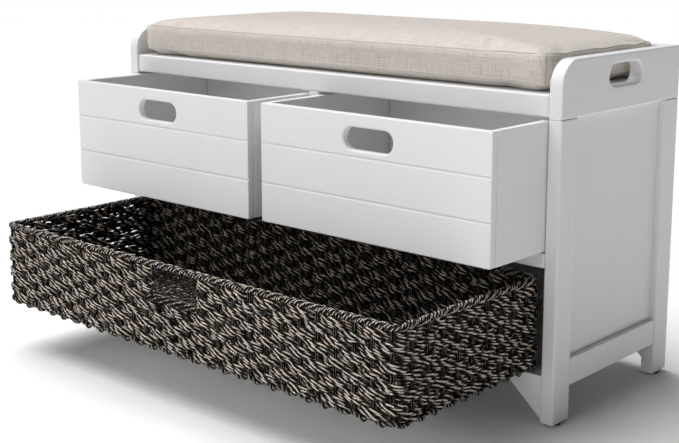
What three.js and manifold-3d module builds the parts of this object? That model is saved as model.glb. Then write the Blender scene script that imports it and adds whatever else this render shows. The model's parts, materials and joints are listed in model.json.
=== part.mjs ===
// Entryway storage bench. Posts and end boards carry a seat board with a loose boxed cushion. Two
// drawers run side by side under the seat, over an open bay that holds one long woven basket.
// Millimetres. Seen from the front, +X is to the right, +Y to the back and +Z up.

import * as THREE from "three";
import { mergeVertices } from "three/addons/utils/BufferGeometryUtils.js";
import Module from "manifold-3d";

const wasm = await Module();
wasm.setup();

// ---- Overall size -----------------------------------------------------------------------------

const WIDTH = 900; // over the end boards
const DEPTH = 325; // over the posts, front to back
const HEIGHT = 510; // floor to the top of the end boards

// ---- Heights of the front, floor upwards; the drawer bay takes what they leave ----------------

const GLIDE_HEIGHT = 4;
const LEG_CLEARANCE = 53; // floor to the underside of the bottom rails
const BOTTOM_RAIL_HEIGHT = 19.5;
const BASKET_BAY_HEIGHT = 153;
const DIVIDER_HEIGHT = 20.8;
const APRON_HEIGHT = 30.5;
const END_RISE = 47; // end boards above the seat board
const END_BOARD_HEIGHT = 79.5;
const SIDE_RAIL_HEIGHT = 39.3;

// ---- Timber -----------------------------------------------------------------------------------

const END_THICKNESS = 21; // end boards and posts, left to right
const POST_DEPTH = 42; // posts, front to back
const RAIL_THICKNESS = 18; // rails and apron, front to back
const BOARD_THICKNESS = 12; // seat board, drawer deck and bottom shelf
const SIDE_PANEL_THICKNESS = 12.3;
const BACK_RAIL_THICKNESS = 15;
const BACK_PANEL_THICKNESS = 3;
const BACK_PANEL_INSET = 0.5; // from the back of the posts
const APRON_INSET = 0.8; // behind the front of the end boards
const CENTRE_POST_WIDTH = 20;
const PARTITION_THICKNESS = 12;
const CLEAT_SIZE = 16; // square section
const CLEAT_END_GAP = 30; // from a cleat's ends to the posts
const GUSSET_WIDTH = 51;
const GUSSET_THICKNESS = 15;
const GUSSET_INSET = 3; // behind the face of its leg
const GUSSET_TIP = 8.4; // lowest point above the floor
const GLIDE_RADIUS = 8.5;

// ---- Edges and handholds ----------------------------------------------------------------------

const EDGE_EASE = 1.5; // rounding along every visible board
const END_EASE = 2.5; // the same along an end board, which hands reach
const END_CORNER_RADIUS = 37; // front top corner of an end board
const END_REAR_RADIUS = 4; // rear top corner
const HANDHOLD_LENGTH = 90;
const HANDHOLD_HEIGHT = 32;
const HANDHOLD_EASE = 3; // rounding of a handhold's rim
const END_HANDHOLD_DROP = 30; // board's top edge to the handhold's middle
const END_HANDHOLD_OFFSET = 3; // behind the middle of the board
const DRAWER_HANDHOLD_DROP = 34;

// ---- Drawers ----------------------------------------------------------------------------------

const DRAWER_SIDE_GAP = 1; // front's ends to the opening
const DRAWER_TOP_GAP = 4.4;
const DRAWER_BOTTOM_GAP = 2.4;
const DRAWER_FRONT_INSET = 0.8; // closed, behind the posts' front
const DRAWER_BACK_GAP = 26; // closed, box to back panel
const DRAWER_FRONT_THICKNESS = 12;
const DRAWER_WALL_THICKNESS = 11;
const DRAWER_FLOOR_THICKNESS = 4;
const DRAWER_FLOOR_RISE = 8; // underside of the walls to the floor panel
const GROOVE_COUNT = 2;
const GROOVE_DEPTH = 2.2;
const GROOVE_HEIGHT = 4.2;

// ---- Basket -----------------------------------------------------------------------------------

const BASKET_SIDE_GAP = 12;
const BASKET_TOP_GAP = 14.4;
const BASKET_FLOOR_GAP = 2.6;
const BASKET_FRONT_INSET = 1;
const BASKET_REAR_GAP = 2.5;
const BASKET_WALL_THICKNESS = 8;
const BASKET_WALL_INSET = 1.5; // inside the rim's outer face
const BASKET_CORNER_RADIUS = 18;
const BASKET_RIM_SIZE = 12; // rope-wrapped top edge, square section
const BASKET_BORDER_SIZE = 10; // braided bottom edge, square section
const BASKET_FLOOR_THICKNESS = 7;
const BASKET_FLOOR_RISE = 1; // underside of the border to the floor
const BASKET_OPENING_WIDTH = 100;
const BASKET_OPENING_HEIGHT = 38; // rim to the wrapped grip
const BASKET_GRIP_HEIGHT = 12;
const BASKET_ROPE_EASE = 2; // rounding of the rim, border, grip and floor

// ---- Cushion ----------------------------------------------------------------------------------

const CUSHION_END_GAP = 9;
const CUSHION_FRONT_SETBACK = 6;
const CUSHION_REAR_GAP = 5;
const CUSHION_EDGE_HEIGHT = 54; // seat board to the upper seam
const CUSHION_CROWN = 23; // rise of the top above its seam
const CUSHION_CORNER_RADIUS = 15; // in plan
const CUSHION_EDGE_EASE = 4; // rounding of the lower and upper edges

// ---- How far each moving piece stands out of the carcass --------------------------------------

const LEFT_DRAWER_PULL = 132.5;
const RIGHT_DRAWER_PULL = 126.5;
const BASKET_PULL = 298;

const JOINT_GAP = 0.3; // between pieces that touch

// ---- Levels and planes worked out from the sizes above ----------------------------------------

const halfWidth = WIDTH / 2;
const innerX = halfWidth - END_THICKNESS;
const bottomRailTop = LEG_CLEARANCE + BOTTOM_RAIL_HEIGHT;
const dividerBottom = bottomRailTop + BASKET_BAY_HEIGHT;
const dividerTop = dividerBottom + DIVIDER_HEIGHT;
const seatTop = HEIGHT - END_RISE;
const seatBottom = seatTop - BOARD_THICKNESS;
const apronBottom = seatTop - APRON_HEIGHT;
const endBoardBottom = HEIGHT - END_BOARD_HEIGHT;
const rearRailFront = DEPTH - BACK_PANEL_INSET - RAIL_THICKNESS;
const backPanelFront = DEPTH - BACK_PANEL_INSET - BACK_PANEL_THICKNESS;
const backRailFront = DEPTH - BACK_RAIL_THICKNESS;
const panelOuterX = innerX + SIDE_PANEL_THICKNESS;

// ---- Finishes ---------------------------------------------------------------------------------

const paint = (colour) => new THREE.MeshStandardMaterial({ color: colour, roughness: 0.45, metalness: 0 });
const whitePaint = () => paint(0xe9e9ec);
const wovenSeagrass = () => new THREE.MeshStandardMaterial({ color: 0x2c241f, roughness: 0.85, metalness: 0 });
const linen = () => new THREE.MeshStandardMaterial({ color: 0xcdc3b6, roughness: 0.95, metalness: 0 });
const blackPlastic = () => new THREE.MeshStandardMaterial({ color: 0x1e1e1e, roughness: 0.6, metalness: 0 });

// ---- Outlines ---------------------------------------------------------------------------------

// Points along an arc, both ends included.
function arc(cx, cy, radius, fromDegrees, toDegrees, steps) {
  return Array.from({ length: steps + 1 }, (_, i) => {
    const angle = THREE.MathUtils.degToRad(fromDegrees + ((toDegrees - fromDegrees) * i) / steps);
    return new THREE.Vector2(cx + radius * Math.cos(angle), cy + radius * Math.sin(angle));
  });
}

// A rectangle with one radius at all four corners, anticlockwise.
function roundedRectangle(x0, y0, x1, y1, radius, steps) {
  return [
    ...arc(x1 - radius, y1 - radius, radius, 0, 90, steps),
    ...arc(x0 + radius, y1 - radius, radius, 90, 180, steps),
    ...arc(x0 + radius, y0 + radius, radius, 180, 270, steps),
    ...arc(x1 - radius, y0 + radius, radius, 270, 360, steps),
  ];
}

// A level pill shape: the handhold's outline.
function handhold(cx, cy) {
  const radius = HANDHOLD_HEIGHT / 2;
  const reach = HANDHOLD_LENGTH / 2 - radius;
  return new THREE.Shape([...arc(cx + reach, cy, radius, -90, 90, 12), ...arc(cx - reach, cy, radius, 90, 270, 12)]);
}

// ---- Solids -----------------------------------------------------------------------------------

// Where an outline's own x, y and depth go: its plane is YZ, XZ or XY, and the axis is the third one.
const AXIS_FRAMES = {
  x: new THREE.Matrix4().set(0, 0, 1, 0, 1, 0, 0, 0, 0, 1, 0, 0, 0, 0, 0, 1),
  y: new THREE.Matrix4().set(1, 0, 0, 0, 0, 0, -1, 0, 0, 1, 0, 0, 0, 0, 0, 1),
  z: new THREE.Matrix4(),
};

// Carries an outline along an axis from one coordinate to another, its end edges rounded by ease. With a
// flare the outline widens by the ease at both ends instead, which is the shape to cut a rounded rim with.
function extrude(axis, shape, from, to, ease, flare = false) {
  const size = flare ? -ease : ease;
  const bevel = { bevelEnabled: ease > 0, bevelThickness: ease, bevelSize: size, bevelOffset: -size };
  const bevelSegments = ease > 2 ? 3 : 2;
  const geometry = new THREE.ExtrudeGeometry(shape, { depth: to - from - 2 * ease, bevelSegments, ...bevel });
  const start = axis === "y" ? -to : from;
  return geometry.translate(0, 0, start + ease).applyMatrix4(AXIS_FRAMES[axis]);
}

function mesh(name, geometry, material) {
  const made = new THREE.Mesh(geometry, material);
  made.name = name;
  return made;
}

// A plain board between the given limits, with eased edges.
function board(name, [x0, x1], [y0, y1], [z0, z1], ease = EDGE_EASE) {
  const halfX = (x1 - x0) / 2;
  const halfY = (y1 - y0) / 2;
  const halfZ = (z1 - z0) / 2;
  const section = roundedRectangle(-halfX, -halfY, halfX, halfY, 1.6 * ease, 2);
  const made = mesh(name, extrude("z", new THREE.Shape(section), -halfZ, halfZ, ease), whitePaint());
  made.position.set(x0 + halfX, y0 + halfY, z0 + halfZ);
  return made;
}

// A thin or hidden board with plain edges.
function plainBoard(name, [x0, x1], [y0, y1], [z0, z1]) {
  const made = mesh(name, new THREE.BoxGeometry(x1 - x0, y1 - y0, z1 - z0), whitePaint());
  made.position.set((x0 + x1) / 2, (y0 + y1) / 2, (z0 + z1) / 2);
  return made;
}

function toSolid(geometry) {
  const bare = geometry.clone();
  bare.deleteAttribute("normal");
  bare.deleteAttribute("uv");
  const merged = mergeVertices(bare, 1e-4);
  const vertProperties = new Float32Array(merged.attributes.position.array);
  const triVerts = new Uint32Array(merged.index.array);
  return new wasm.Manifold(new wasm.Mesh({ numProp: 3, vertProperties, triVerts }));
}

function toGeometry(solid) {
  const { vertProperties, triVerts } = solid.getMesh();
  const indexed = new THREE.BufferGeometry();
  indexed.setAttribute("position", new THREE.BufferAttribute(vertProperties, 3));
  indexed.setIndex(new THREE.BufferAttribute(triVerts, 1));
  const faceted = indexed.toNonIndexed();
  faceted.computeVertexNormals();
  return faceted;
}

// Closes a stack of rings, each with the same number of points, into one solid.
function loft(rings) {
  const count = rings[0].length;
  const last = rings.length - 1;
  const middle = (ring) => ring.reduce((sum, point) => sum.add(point), new THREE.Vector3()).divideScalar(count);
  const points = [...rings.flat(), middle(rings[0]), middle(rings[last])];
  const at = (ring, i) => ring * count + (i % count);
  const corners = [];
  for (let i = 0; i < count; i += 1) {
    corners.push(points.length - 2, at(0, i + 1), at(0, i), points.length - 1, at(last, i), at(last, i + 1));
    for (let ring = 0; ring < last; ring += 1) {
      const [a, b, c, d] = [at(ring, i), at(ring, i + 1), at(ring + 1, i + 1), at(ring + 1, i)];
      corners.push(a, b, c, a, c, d);
    }
  }
  const faceted = new THREE.BufferGeometry().setFromPoints(corners.map((corner) => points[corner]));
  faceted.computeVertexNormals();
  return faceted;
}

// The limits of something centred on the bench, and the same limits mirrored for the left side.
const centred = (half) => [-half, half];
const sided = (side, near, far) => (side > 0 ? [near, far] : [-far, -near]);
const SIDES = { left: -1, right: 1 };

// What a handhold takes out of a board between two faces.
function handholdCutter(axis, outline, from, to) {
  return toSolid(extrude(axis, outline, from, to, HANDHOLD_EASE, true));
}

// ---- Ends of the bench ------------------------------------------------------------------------

// The board over each pair of posts: a large round at the front top corner and a handhold through it.
function endBoard(name, side) {
  const r = END_CORNER_RADIUS;
  const shape = new THREE.Shape([
    new THREE.Vector2(0, endBoardBottom),
    new THREE.Vector2(DEPTH, endBoardBottom),
    ...arc(DEPTH - END_REAR_RADIUS, HEIGHT - END_REAR_RADIUS, END_REAR_RADIUS, 0, 90, 4),
    ...arc(r, HEIGHT - r, r, 90, 180, 18),
  ]);
  const [from, to] = sided(side, innerX, halfWidth);
  const outline = handhold(DEPTH / 2 + END_HANDHOLD_OFFSET, HEIGHT - END_HANDHOLD_DROP);
  const solid = toSolid(extrude("x", shape, from, to, END_EASE));
  return mesh(name, toGeometry(solid.subtract(handholdCutter("x", outline, from, to))), whitePaint());
}

function post(name, side, [y0, y1]) {
  return board(name, sided(side, innerX, halfWidth), [y0, y1], [GLIDE_HEIGHT + JOINT_GAP, endBoardBottom - JOINT_GAP]);
}

function glide(name, side, y) {
  const made = mesh(name, new THREE.CylinderGeometry(GLIDE_RADIUS, GLIDE_RADIUS, GLIDE_HEIGHT, 24), blackPlastic());
  made.rotation.x = Math.PI / 2;
  made.position.set(side * (halfWidth - END_THICKNESS / 2), y, GLIDE_HEIGHT / 2);
  return made;
}

// A triangular brace between a leg and the underside of a bottom rail.
function gusset(name, side, [y0, y1]) {
  const outer = innerX - JOINT_GAP;
  const top = LEG_CLEARANCE - JOINT_GAP;
  const corners = [
    new THREE.Vector2(side * outer, top),
    new THREE.Vector2(side * (outer - GUSSET_WIDTH), top),
    new THREE.Vector2(side * outer, GUSSET_TIP),
  ];
  return mesh(name, extrude("y", new THREE.Shape(corners), y0, y1, 0), whitePaint());
}

function benchEnd(label, side) {
  const between = [POST_DEPTH + JOINT_GAP, DEPTH - POST_DEPTH - JOINT_GAP];
  const sideRailTop = LEG_CLEARANCE + SIDE_RAIL_HEIGHT;
  const group = new THREE.Group();
  group.add(
    endBoard(`${label}_end_board`, side),
    post(`${label}_front_post`, side, [0, POST_DEPTH]),
    post(`${label}_rear_post`, side, [DEPTH - POST_DEPTH, DEPTH]),
    board(`${label}_side_rail`, sided(side, innerX, halfWidth), between, [LEG_CLEARANCE, sideRailTop]),
    plainBoard(
      `${label}_side_panel`,
      sided(side, innerX, panelOuterX),
      between,
      [sideRailTop + JOINT_GAP, endBoardBottom - JOINT_GAP],
    ),
    gusset(`${label}_front_gusset`, side, [GUSSET_INSET, GUSSET_INSET + GUSSET_THICKNESS]),
    gusset(`${label}_rear_gusset`, side, [DEPTH - GUSSET_INSET - GUSSET_THICKNESS, DEPTH - GUSSET_INSET]),
    glide(`${label}_front_glide`, side, POST_DEPTH / 2),
    glide(`${label}_rear_glide`, side, DEPTH - POST_DEPTH / 2),
  );
  return group;
}

// ---- Carcass between the ends -----------------------------------------------------------------

function carcass() {
  const span = centred(innerX - JOINT_GAP);
  const railY = [0, RAIL_THICKNESS];
  const behindRail = RAIL_THICKNESS + JOINT_GAP;
  const apronY = [APRON_INSET, APRON_INSET + RAIL_THICKNESS];
  const centrePostRear = 2 * RAIL_THICKNESS;
  const cleatY = [POST_DEPTH + CLEAT_END_GAP, DEPTH - POST_DEPTH - CLEAT_END_GAP];
  const group = new THREE.Group();
  group.add(
    board("seat_apron", span, apronY, [apronBottom, seatTop], 2 * EDGE_EASE),
    plainBoard("seat_board", span, [apronY[1] + JOINT_GAP, backRailFront - JOINT_GAP], [seatBottom, seatTop]),
    board("seat_back_rail", span, [backRailFront, DEPTH], [endBoardBottom, HEIGHT]),
    board("drawer_divider_rail", span, railY, [dividerBottom, dividerTop]),
    plainBoard(
      "drawer_deck",
      span,
      [behindRail, backPanelFront - JOINT_GAP],
      [dividerTop - BOARD_THICKNESS, dividerTop],
    ),
    board(
      "centre_post",
      centred(CENTRE_POST_WIDTH / 2),
      [0, centrePostRear],
      [dividerTop + JOINT_GAP, apronBottom - JOINT_GAP],
    ),
    plainBoard(
      "centre_partition",
      centred(PARTITION_THICKNESS / 2),
      [centrePostRear + JOINT_GAP, backPanelFront - JOINT_GAP],
      [dividerTop + JOINT_GAP, endBoardBottom - JOINT_GAP],
    ),
    board("front_bottom_rail", span, railY, [LEG_CLEARANCE, bottomRailTop]),
    board("rear_bottom_rail", span, [rearRailFront, rearRailFront + RAIL_THICKNESS], [LEG_CLEARANCE, bottomRailTop]),
    plainBoard(
      "bottom_shelf",
      span,
      [behindRail, rearRailFront - JOINT_GAP],
      [bottomRailTop - BOARD_THICKNESS, bottomRailTop],
    ),
    plainBoard(
      "back_panel",
      span,
      [backPanelFront, backPanelFront + BACK_PANEL_THICKNESS],
      [bottomRailTop + JOINT_GAP, endBoardBottom - JOINT_GAP],
    ),
  );
  for (const [label, side] of Object.entries(SIDES)) {
    const cleatX = sided(side, innerX - JOINT_GAP - CLEAT_SIZE, innerX - JOINT_GAP);
    const underSeat = seatBottom - JOINT_GAP;
    const underDeck = dividerTop - BOARD_THICKNESS - JOINT_GAP;
    group.add(
      plainBoard(`${label}_seat_cleat`, cleatX, cleatY, [underSeat - CLEAT_SIZE, underSeat]),
      plainBoard(`${label}_deck_cleat`, cleatX, cleatY, [underDeck - CLEAT_SIZE, underDeck]),
    );
  }
  return group;
}

// ---- Drawers ----------------------------------------------------------------------------------

// A drawer front: a handhold near the top, and level grooves that mark it off as three planks. Each
// groove has a square upper edge and a sloping lower one.
function drawerFront(name, [x0, x1], y0, [z0, z1]) {
  const shape = new THREE.Shape(roundedRectangle(x0, z0, x1, z1, 1.6 * EDGE_EASE, 2));
  const y1 = y0 + DRAWER_FRONT_THICKNESS;
  const outline = handhold((x0 + x1) / 2, z1 - DRAWER_HANDHOLD_DROP);
  let solid = toSolid(extrude("y", shape, y0, y1, EDGE_EASE)).subtract(handholdCutter("y", outline, y0, y1));
  const proud = 1;
  for (let i = 1; i <= GROOVE_COUNT; i += 1) {
    const middle = z0 + ((z1 - z0) * i) / (GROOVE_COUNT + 1);
    const upper = middle + GROOVE_HEIGHT / 2;
    const groove = new THREE.Shape([
      new THREE.Vector2(y0 - proud, upper),
      new THREE.Vector2(y0 - proud, upper - GROOVE_HEIGHT * (1 + proud / GROOVE_DEPTH)),
      new THREE.Vector2(y0 + GROOVE_DEPTH, upper - 0.5),
      new THREE.Vector2(y0 + GROOVE_DEPTH, upper),
    ]);
    solid = solid.subtract(toSolid(extrude("x", groove, x0 - proud, x1 + proud, 0)));
  }
  return mesh(name, toGeometry(solid), whitePaint());
}

// A drawer in its closed place: an open box behind the front, flush with the front's ends.
function drawer(label, side) {
  const wall = DRAWER_WALL_THICKNESS;
  const [x0, x1] = sided(side, CENTRE_POST_WIDTH / 2 + DRAWER_SIDE_GAP, innerX - DRAWER_SIDE_GAP);
  const z = [dividerTop + DRAWER_BOTTOM_GAP, apronBottom - DRAWER_TOP_GAP];
  const front = DRAWER_FRONT_INSET;
  const boxFront = front + DRAWER_FRONT_THICKNESS + JOINT_GAP;
  const boxRear = backPanelFront - DRAWER_BACK_GAP;
  const insideX = [x0 + wall + JOINT_GAP, x1 - wall - JOINT_GAP];
  const floorZ = z[0] + DRAWER_FLOOR_RISE;
  const group = new THREE.Group();
  group.add(
    drawerFront(`${label}_drawer_front`, [x0, x1], front, z),
    board(`${label}_drawer_left_side`, [x0, x0 + wall], [boxFront, boxRear], z),
    board(`${label}_drawer_right_side`, [x1 - wall, x1], [boxFront, boxRear], z),
    board(`${label}_drawer_back`, insideX, [boxRear - wall, boxRear], z),
    plainBoard(
      `${label}_drawer_floor`,
      insideX,
      [boxFront, boxRear - wall - JOINT_GAP],
      [floorZ, floorZ + DRAWER_FLOOR_THICKNESS],
    ),
  );
  return group;
}

// ---- Basket -----------------------------------------------------------------------------------

// A band round the basket in plan, square in section with rounded edges: the rim and the bottom border.
function basketBand(name, halfX, [y0, y1], [z0, z1], size) {
  const radius = BASKET_CORNER_RADIUS;
  const shape = new THREE.Shape(roundedRectangle(-halfX, y0, halfX, y1, radius, 6));
  const hole = roundedRectangle(size - halfX, y0 + size, halfX - size, y1 - size, radius - size, 6);
  shape.holes.push(new THREE.Path(hole));
  return mesh(name, extrude("z", shape, z0, z1, BASKET_ROPE_EASE), wovenSeagrass());
}

// The woven floor inside the border.
function basketFloor(halfX, [y0, y1], z0) {
  const inset = BASKET_BORDER_SIZE + JOINT_GAP;
  const radius = BASKET_CORNER_RADIUS - inset;
  const outline = roundedRectangle(inset - halfX, y0 + inset, halfX - inset, y1 - inset, radius, 6);
  const geometry = extrude("z", new THREE.Shape(outline), z0, z0 + BASKET_FLOOR_THICKNESS, BASKET_ROPE_EASE);
  return mesh("basket_floor", geometry, wovenSeagrass());
}

// A side of the basket between the border and the rim.
function basketWall(name, [x0, x1], [y0, y1], z) {
  const made = board(name, [x0, x1], [y0, y1], z);
  made.material = wovenSeagrass();
  return made;
}

// The front wall is cut down under the rim for a hand, and the cut's lower edge is wrapped with rope.
function basketFrontWall(name, halfX, [y0, y1], [z0, z1]) {
  const halfCut = BASKET_OPENING_WIDTH / 2;
  const cutBottom = z1 + JOINT_GAP - BASKET_OPENING_HEIGHT - BASKET_GRIP_HEIGHT - JOINT_GAP;
  const corners = [
    [-halfX, z0],
    [halfX, z0],
    [halfX, z1],
    [halfCut, z1],
    [halfCut, cutBottom],
    [-halfCut, cutBottom],
    [-halfCut, z1],
    [-halfX, z1],
  ];
  const shape = new THREE.Shape(corners.map(([x, z]) => new THREE.Vector2(x, z)));
  return mesh(name, extrude("y", shape, y0, y1, 0), wovenSeagrass());
}

function basket() {
  const halfX = innerX - BASKET_SIDE_GAP;
  const y = [BASKET_FRONT_INSET, backPanelFront - BASKET_REAR_GAP];
  const bottom = bottomRailTop + BASKET_FLOOR_GAP;
  const top = dividerBottom - BASKET_TOP_GAP;
  const wallZ = [bottom + BASKET_BORDER_SIZE + JOINT_GAP, top - BASKET_RIM_SIZE - JOINT_GAP];
  const wallX = halfX - BASKET_WALL_INSET;
  const frontY = [y[0] + BASKET_WALL_INSET, y[0] + BASKET_WALL_INSET + BASKET_WALL_THICKNESS];
  const rearY = [y[1] - BASKET_WALL_INSET - BASKET_WALL_THICKNESS, y[1] - BASKET_WALL_INSET];
  const sideY = [frontY[1] + JOINT_GAP, rearY[0] - JOINT_GAP];
  const gripTop = wallZ[1] + JOINT_GAP - BASKET_OPENING_HEIGHT;
  const grip = board(
    "basket_grip_wrap",
    centred(BASKET_OPENING_WIDTH / 2 - JOINT_GAP),
    frontY,
    [gripTop - BASKET_GRIP_HEIGHT, gripTop],
    BASKET_ROPE_EASE,
  );
  grip.material = wovenSeagrass();
  const group = new THREE.Group();
  group.add(
    basketBand("basket_rim", halfX, y, [top - BASKET_RIM_SIZE, top], BASKET_RIM_SIZE),
    basketBand("basket_border", halfX, y, [bottom, bottom + BASKET_BORDER_SIZE], BASKET_BORDER_SIZE),
    basketFrontWall("basket_front_wall", wallX, frontY, wallZ),
    basketWall("basket_rear_wall", centred(wallX), rearY, wallZ),
    basketWall("basket_left_wall", [-wallX, BASKET_WALL_THICKNESS - wallX], sideY, wallZ),
    basketWall("basket_right_wall", [wallX - BASKET_WALL_THICKNESS, wallX], sideY, wallZ),
    grip,
    basketFloor(halfX, y, bottom + BASKET_FLOOR_RISE),
  );
  return group;
}

// ---- Cushion ----------------------------------------------------------------------------------

// A boxed seat cushion: upright sides with rounded corners, and a top that rises towards its middle by the
// crown, following one less the cube of the distance out from the middle.
function seatCushion() {
  const halfX = innerX - CUSHION_END_GAP;
  const y0 = CUSHION_FRONT_SETBACK;
  const y1 = backRailFront - CUSHION_REAR_GAP;
  const halfY = (y1 - y0) / 2;
  const bottom = seatTop + JOINT_GAP;
  const seam = seatTop + CUSHION_EDGE_HEIGHT;
  const ease = CUSHION_EDGE_EASE;
  const ring = (inset, scale, z) =>
    roundedRectangle(inset - halfX, inset - halfY, halfX - inset, halfY - inset, CUSHION_CORNER_RADIUS - inset, 6).map(
      (point) => new THREE.Vector3(point.x * scale, point.y * scale, z),
    );
  const crown = [0.98, 0.93, 0.85, 0.75, 0.63, 0.5, 0.36, 0.2].map((scale) =>
    ring(ease, scale, seam + CUSHION_CROWN * (1 - scale ** 3)),
  );
  const sides = [ring(ease, 1, bottom), ring(ease * 0.3, 1, bottom + ease * 0.3), ring(0, 1, bottom + ease)];
  const shoulder = [ring(0, 1, seam - ease), ring(ease * 0.3, 1, seam - ease * 0.3), ring(ease, 1, seam)];
  const peak = ring(ease, 0.06, seam + CUSHION_CROWN);
  const made = mesh("seat_cushion", loft([...sides, ...shoulder, ...crown, peak]), linen());
  made.position.y = (y0 + y1) / 2;
  return made;
}

// ---- The whole bench --------------------------------------------------------------------------

const leftDrawer = drawer("left", SIDES.left);
leftDrawer.position.y = -LEFT_DRAWER_PULL;
const rightDrawer = drawer("right", SIDES.right);
rightDrawer.position.y = -RIGHT_DRAWER_PULL;
const wovenBasket = basket();
wovenBasket.position.y = -BASKET_PULL;

const bench = new THREE.Group();
bench.add(
  benchEnd("left", SIDES.left),
  benchEnd("right", SIDES.right),
  carcass(),
  seatCushion(),
  leftDrawer,
  rightDrawer,
  wovenBasket,
);

// The origin is on the floor, at the middle of the bench with its drawers and basket standing out.
const frontMost = Math.min(
  0,
  DRAWER_FRONT_INSET - Math.max(LEFT_DRAWER_PULL, RIGHT_DRAWER_PULL),
  BASKET_FRONT_INSET - BASKET_PULL,
);
bench.position.y = -(frontMost + DEPTH) / 2;

export default bench;
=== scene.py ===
# %% [markdown]
# # An entryway bench with its drawers and basket pulled out
# The CAD model is the frame of this scene: every board, drawer wall and foot is already there in
# its real place, in metres, with +X to the right, +Y to the back and +Z up. What is added here is
# what a CAD solid can't show: painted and woven surfaces, a sewn cushion, and a basket made of
# cord. Each new piece takes its place from the box of the CAD solid that it stands for.

# %% The frame
import json
import math

import bpy
import numpy as np
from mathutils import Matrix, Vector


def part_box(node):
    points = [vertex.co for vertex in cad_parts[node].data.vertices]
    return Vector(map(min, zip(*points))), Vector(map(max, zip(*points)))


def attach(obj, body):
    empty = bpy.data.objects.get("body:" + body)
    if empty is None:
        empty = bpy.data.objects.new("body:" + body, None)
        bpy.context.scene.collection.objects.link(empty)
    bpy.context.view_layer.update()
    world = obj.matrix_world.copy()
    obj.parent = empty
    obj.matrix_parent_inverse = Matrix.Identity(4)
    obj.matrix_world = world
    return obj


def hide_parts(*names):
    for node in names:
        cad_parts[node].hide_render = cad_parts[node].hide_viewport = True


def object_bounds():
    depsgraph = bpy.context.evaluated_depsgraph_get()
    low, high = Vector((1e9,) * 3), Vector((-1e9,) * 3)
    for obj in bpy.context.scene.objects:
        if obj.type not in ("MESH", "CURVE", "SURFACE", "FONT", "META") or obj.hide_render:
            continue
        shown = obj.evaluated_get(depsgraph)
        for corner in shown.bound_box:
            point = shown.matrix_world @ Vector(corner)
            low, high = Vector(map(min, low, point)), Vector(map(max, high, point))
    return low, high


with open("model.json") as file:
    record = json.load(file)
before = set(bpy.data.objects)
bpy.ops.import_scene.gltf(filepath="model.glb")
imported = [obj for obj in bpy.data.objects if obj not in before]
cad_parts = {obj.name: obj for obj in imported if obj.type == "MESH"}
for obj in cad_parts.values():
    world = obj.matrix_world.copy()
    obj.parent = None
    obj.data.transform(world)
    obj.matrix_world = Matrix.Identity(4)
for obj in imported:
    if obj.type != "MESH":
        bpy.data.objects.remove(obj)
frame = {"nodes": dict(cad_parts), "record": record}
cad_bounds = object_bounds()


def limits(node):
    """A CAD node's box as two numpy corners, in metres."""
    low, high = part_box(node)
    return np.array(low), np.array(high)


bench_low, bench_high = (np.array(corner) for corner in cad_bounds)
print("CAD nodes:", len(frame["nodes"]), "box:", np.round(bench_high - bench_low, 3))

# %% [markdown]
# ## The camera
# The bench is seen from its right front corner, from a little above the cushion, with a long
# lens. The place is given from the right front leg's foot, because that is the corner that the
# eye meets first. The lens looks down by about ten degrees, and a small downward shift keeps the
# legs nearly upright, as is usual when furniture is shown.

# %% Camera
foot_low, foot_high = limits("right_front_post")
camera_from_foot = np.array([0.8724, -1.4039, 0.6717])
camera_yaw = 0.7344
camera_pitch = 0.1797
lens_mm = 66.13
lens_shift = -0.0884

camera = bpy.data.objects.new("camera", bpy.data.cameras.new("camera"))
bpy.context.scene.collection.objects.link(camera)
camera.location = np.array([foot_high[0], foot_low[1], 0.0]) + camera_from_foot
camera.rotation_euler = (math.pi / 2 - camera_pitch, 0, camera_yaw)
camera.data.lens = lens_mm
camera.data.sensor_width = 36
camera.data.shift_y = lens_shift
camera.data.clip_end = 50
bpy.context.scene.camera = camera
print("camera at", [round(c, 3) for c in camera.location])

# %% [markdown]
# ## The studio
# A pale sweep of floor that never shows an edge, one very large soft light overhead, a weaker one
# in front, and an even white surround that lights the bench only faintly. Both lights lean in from
# the left, so the right end of the bench is a little darker and its faces read apart.

# %% Node helpers
def new_material(name):
    """An empty node material with a Principled shader joined to its output."""
    material = bpy.data.materials.new(name)
    material.use_nodes = True
    tree = material.node_tree
    shader = tree.nodes["Principled BSDF"]
    return material, tree, shader


def add(tree, kind, inputs=None, **settings):
    """Adds a node. Settings are its properties; inputs are numbers, colours or sockets to join."""
    node = tree.nodes.new("ShaderNode" + kind)
    for key, value in settings.items():
        setattr(node, key, value)
    for key, value in (inputs or {}).items():
        if isinstance(value, bpy.types.NodeSocket):
            tree.links.new(value, node.inputs[key])
        else:
            node.inputs[key].default_value = value
    return node


def ramp(tree, factor, stops):
    """A colour ramp: stops are (place, colour), and a colour may be one grey number."""
    node = add(tree, "ValToRGB", {"Fac": factor})
    elements = node.color_ramp.elements
    while len(elements) < len(stops):
        elements.new(0.5)
    for element, (place, colour) in zip(elements, stops):
        element.position = place
        element.color = (*((colour,) * 3 if isinstance(colour, (int, float)) else colour), 1)
    return node.outputs["Color"]


def noise(tree, vector, scale, detail=3.0, roughness=0.5):
    """Fractal noise on a vector socket."""
    inputs = {"Vector": vector, "Scale": scale, "Detail": detail, "Roughness": roughness}
    return add(tree, "TexNoise", inputs).outputs["Fac"]


def stretched(tree, vector, scale):
    """The vector with each axis multiplied, so that a noise on it is drawn out along one axis."""
    return add(tree, "VectorMath", {0: vector, 1: scale}, operation="MULTIPLY").outputs["Vector"]


def maths(tree, operation, a, b=0.0, c=0.0, clamp=False):
    """One arithmetic node."""
    return add(tree, "Math", {0: a, 1: b, 2: c}, operation=operation, use_clamp=clamp).outputs[0]


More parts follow.
